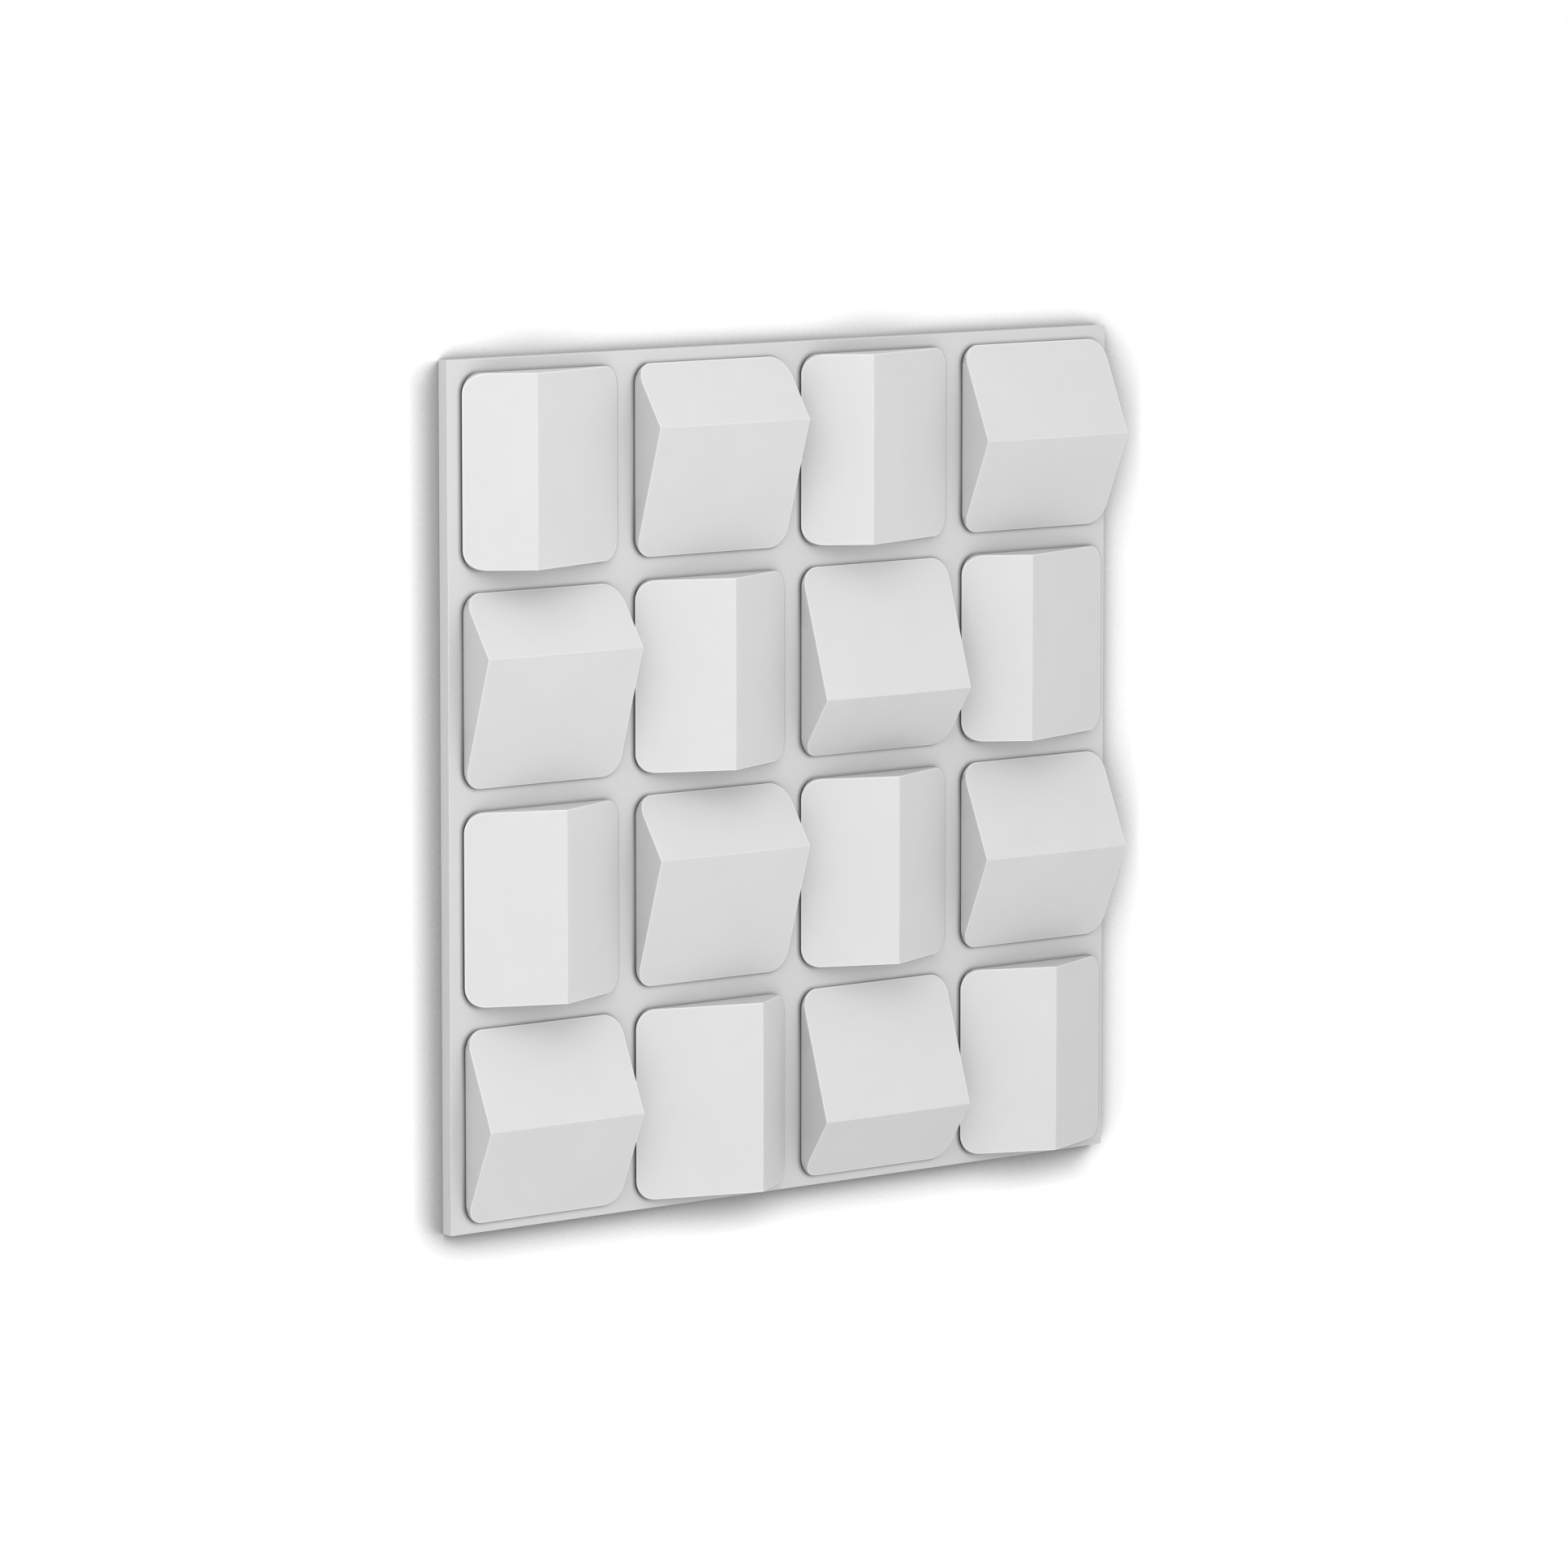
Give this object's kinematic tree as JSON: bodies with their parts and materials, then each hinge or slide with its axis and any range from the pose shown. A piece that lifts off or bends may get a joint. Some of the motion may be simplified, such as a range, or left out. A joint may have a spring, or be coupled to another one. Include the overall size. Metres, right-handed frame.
{
  "type": "relief wall tile",
  "caption": "Square moulded wall tile with a flat back and a grid of round-cornered blocks, each topped by a straight-ridged gable, for covering a wall with a relief pattern.",
  "frame": {"origin": "middle of the flat back", "axes": "+Z out of the relief face, +X along the rows of blocks, +Y up the columns as the tile hangs on a wall"},
  "size_m": [0.38, 0.38, 0.025],
  "materials": {
    "primed_white": "factory-primed matte white over moulded rigid polyurethane"
  },
  "bodies": {
    "root": {"relief_tile": "primed_white"}
  },
  "joints": []
}
